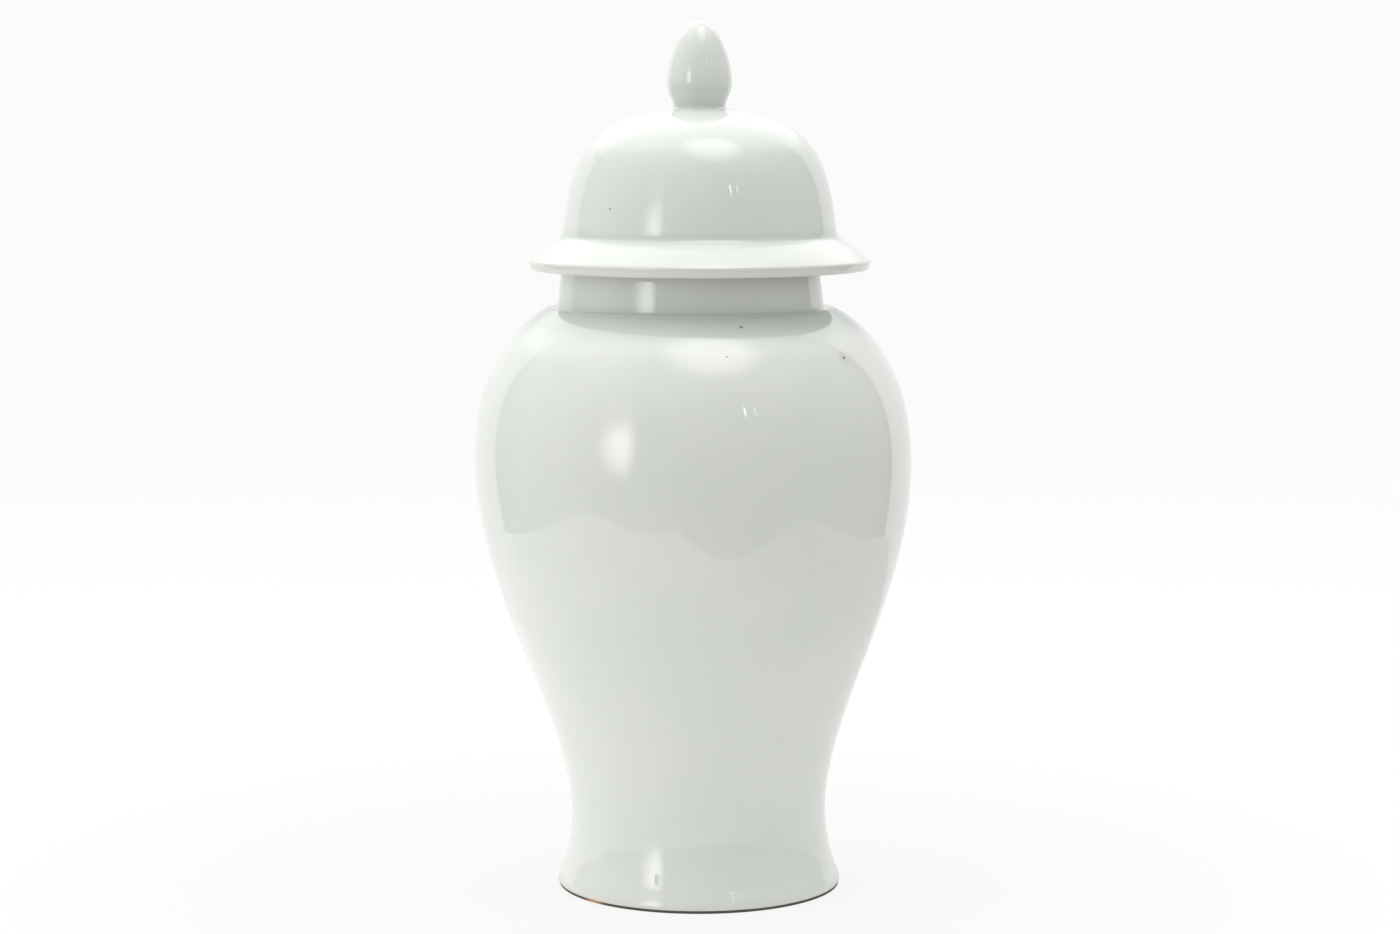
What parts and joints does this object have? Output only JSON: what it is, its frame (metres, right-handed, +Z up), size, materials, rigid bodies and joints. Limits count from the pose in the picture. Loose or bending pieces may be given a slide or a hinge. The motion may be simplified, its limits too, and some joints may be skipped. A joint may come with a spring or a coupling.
{
  "type": "lidded temple jar",
  "caption": "Baluster jar with a flared foot, high shoulder and short neck, closed by a lift-off domed lid with an overhanging flange, an inner locating ring and an onion finial.",
  "frame": {"origin": "middle of the foot ring's resting face, on the jar's axis", "axes": "+Z up along the jar's axis, -Y towards the side that the picture shows, +X to the right in it"},
  "size_m": [0.2308, 0.2308, 0.457],
  "materials": {
    "white_glaze": "glossy white glaze with a faint grey-green tint",
    "bare_clay": "unglazed fired clay, matt and slightly warm"
  },
  "bodies": {
    "jar": {"jar_lower_section": "white_glaze", "jar_upper_section": "white_glaze", "jar_neck": "white_glaze"},
    "lid": {"lid_dome": "white_glaze", "lid_locating_ring": "bare_clay", "lid_finial": "white_glaze"}
  },
  "joints": [
    {"name": "lid_lift", "type": "slide", "parent": "jar", "child": "lid", "axis": [0, 0, 1], "range_m": [0, 0.15]}
  ]
}
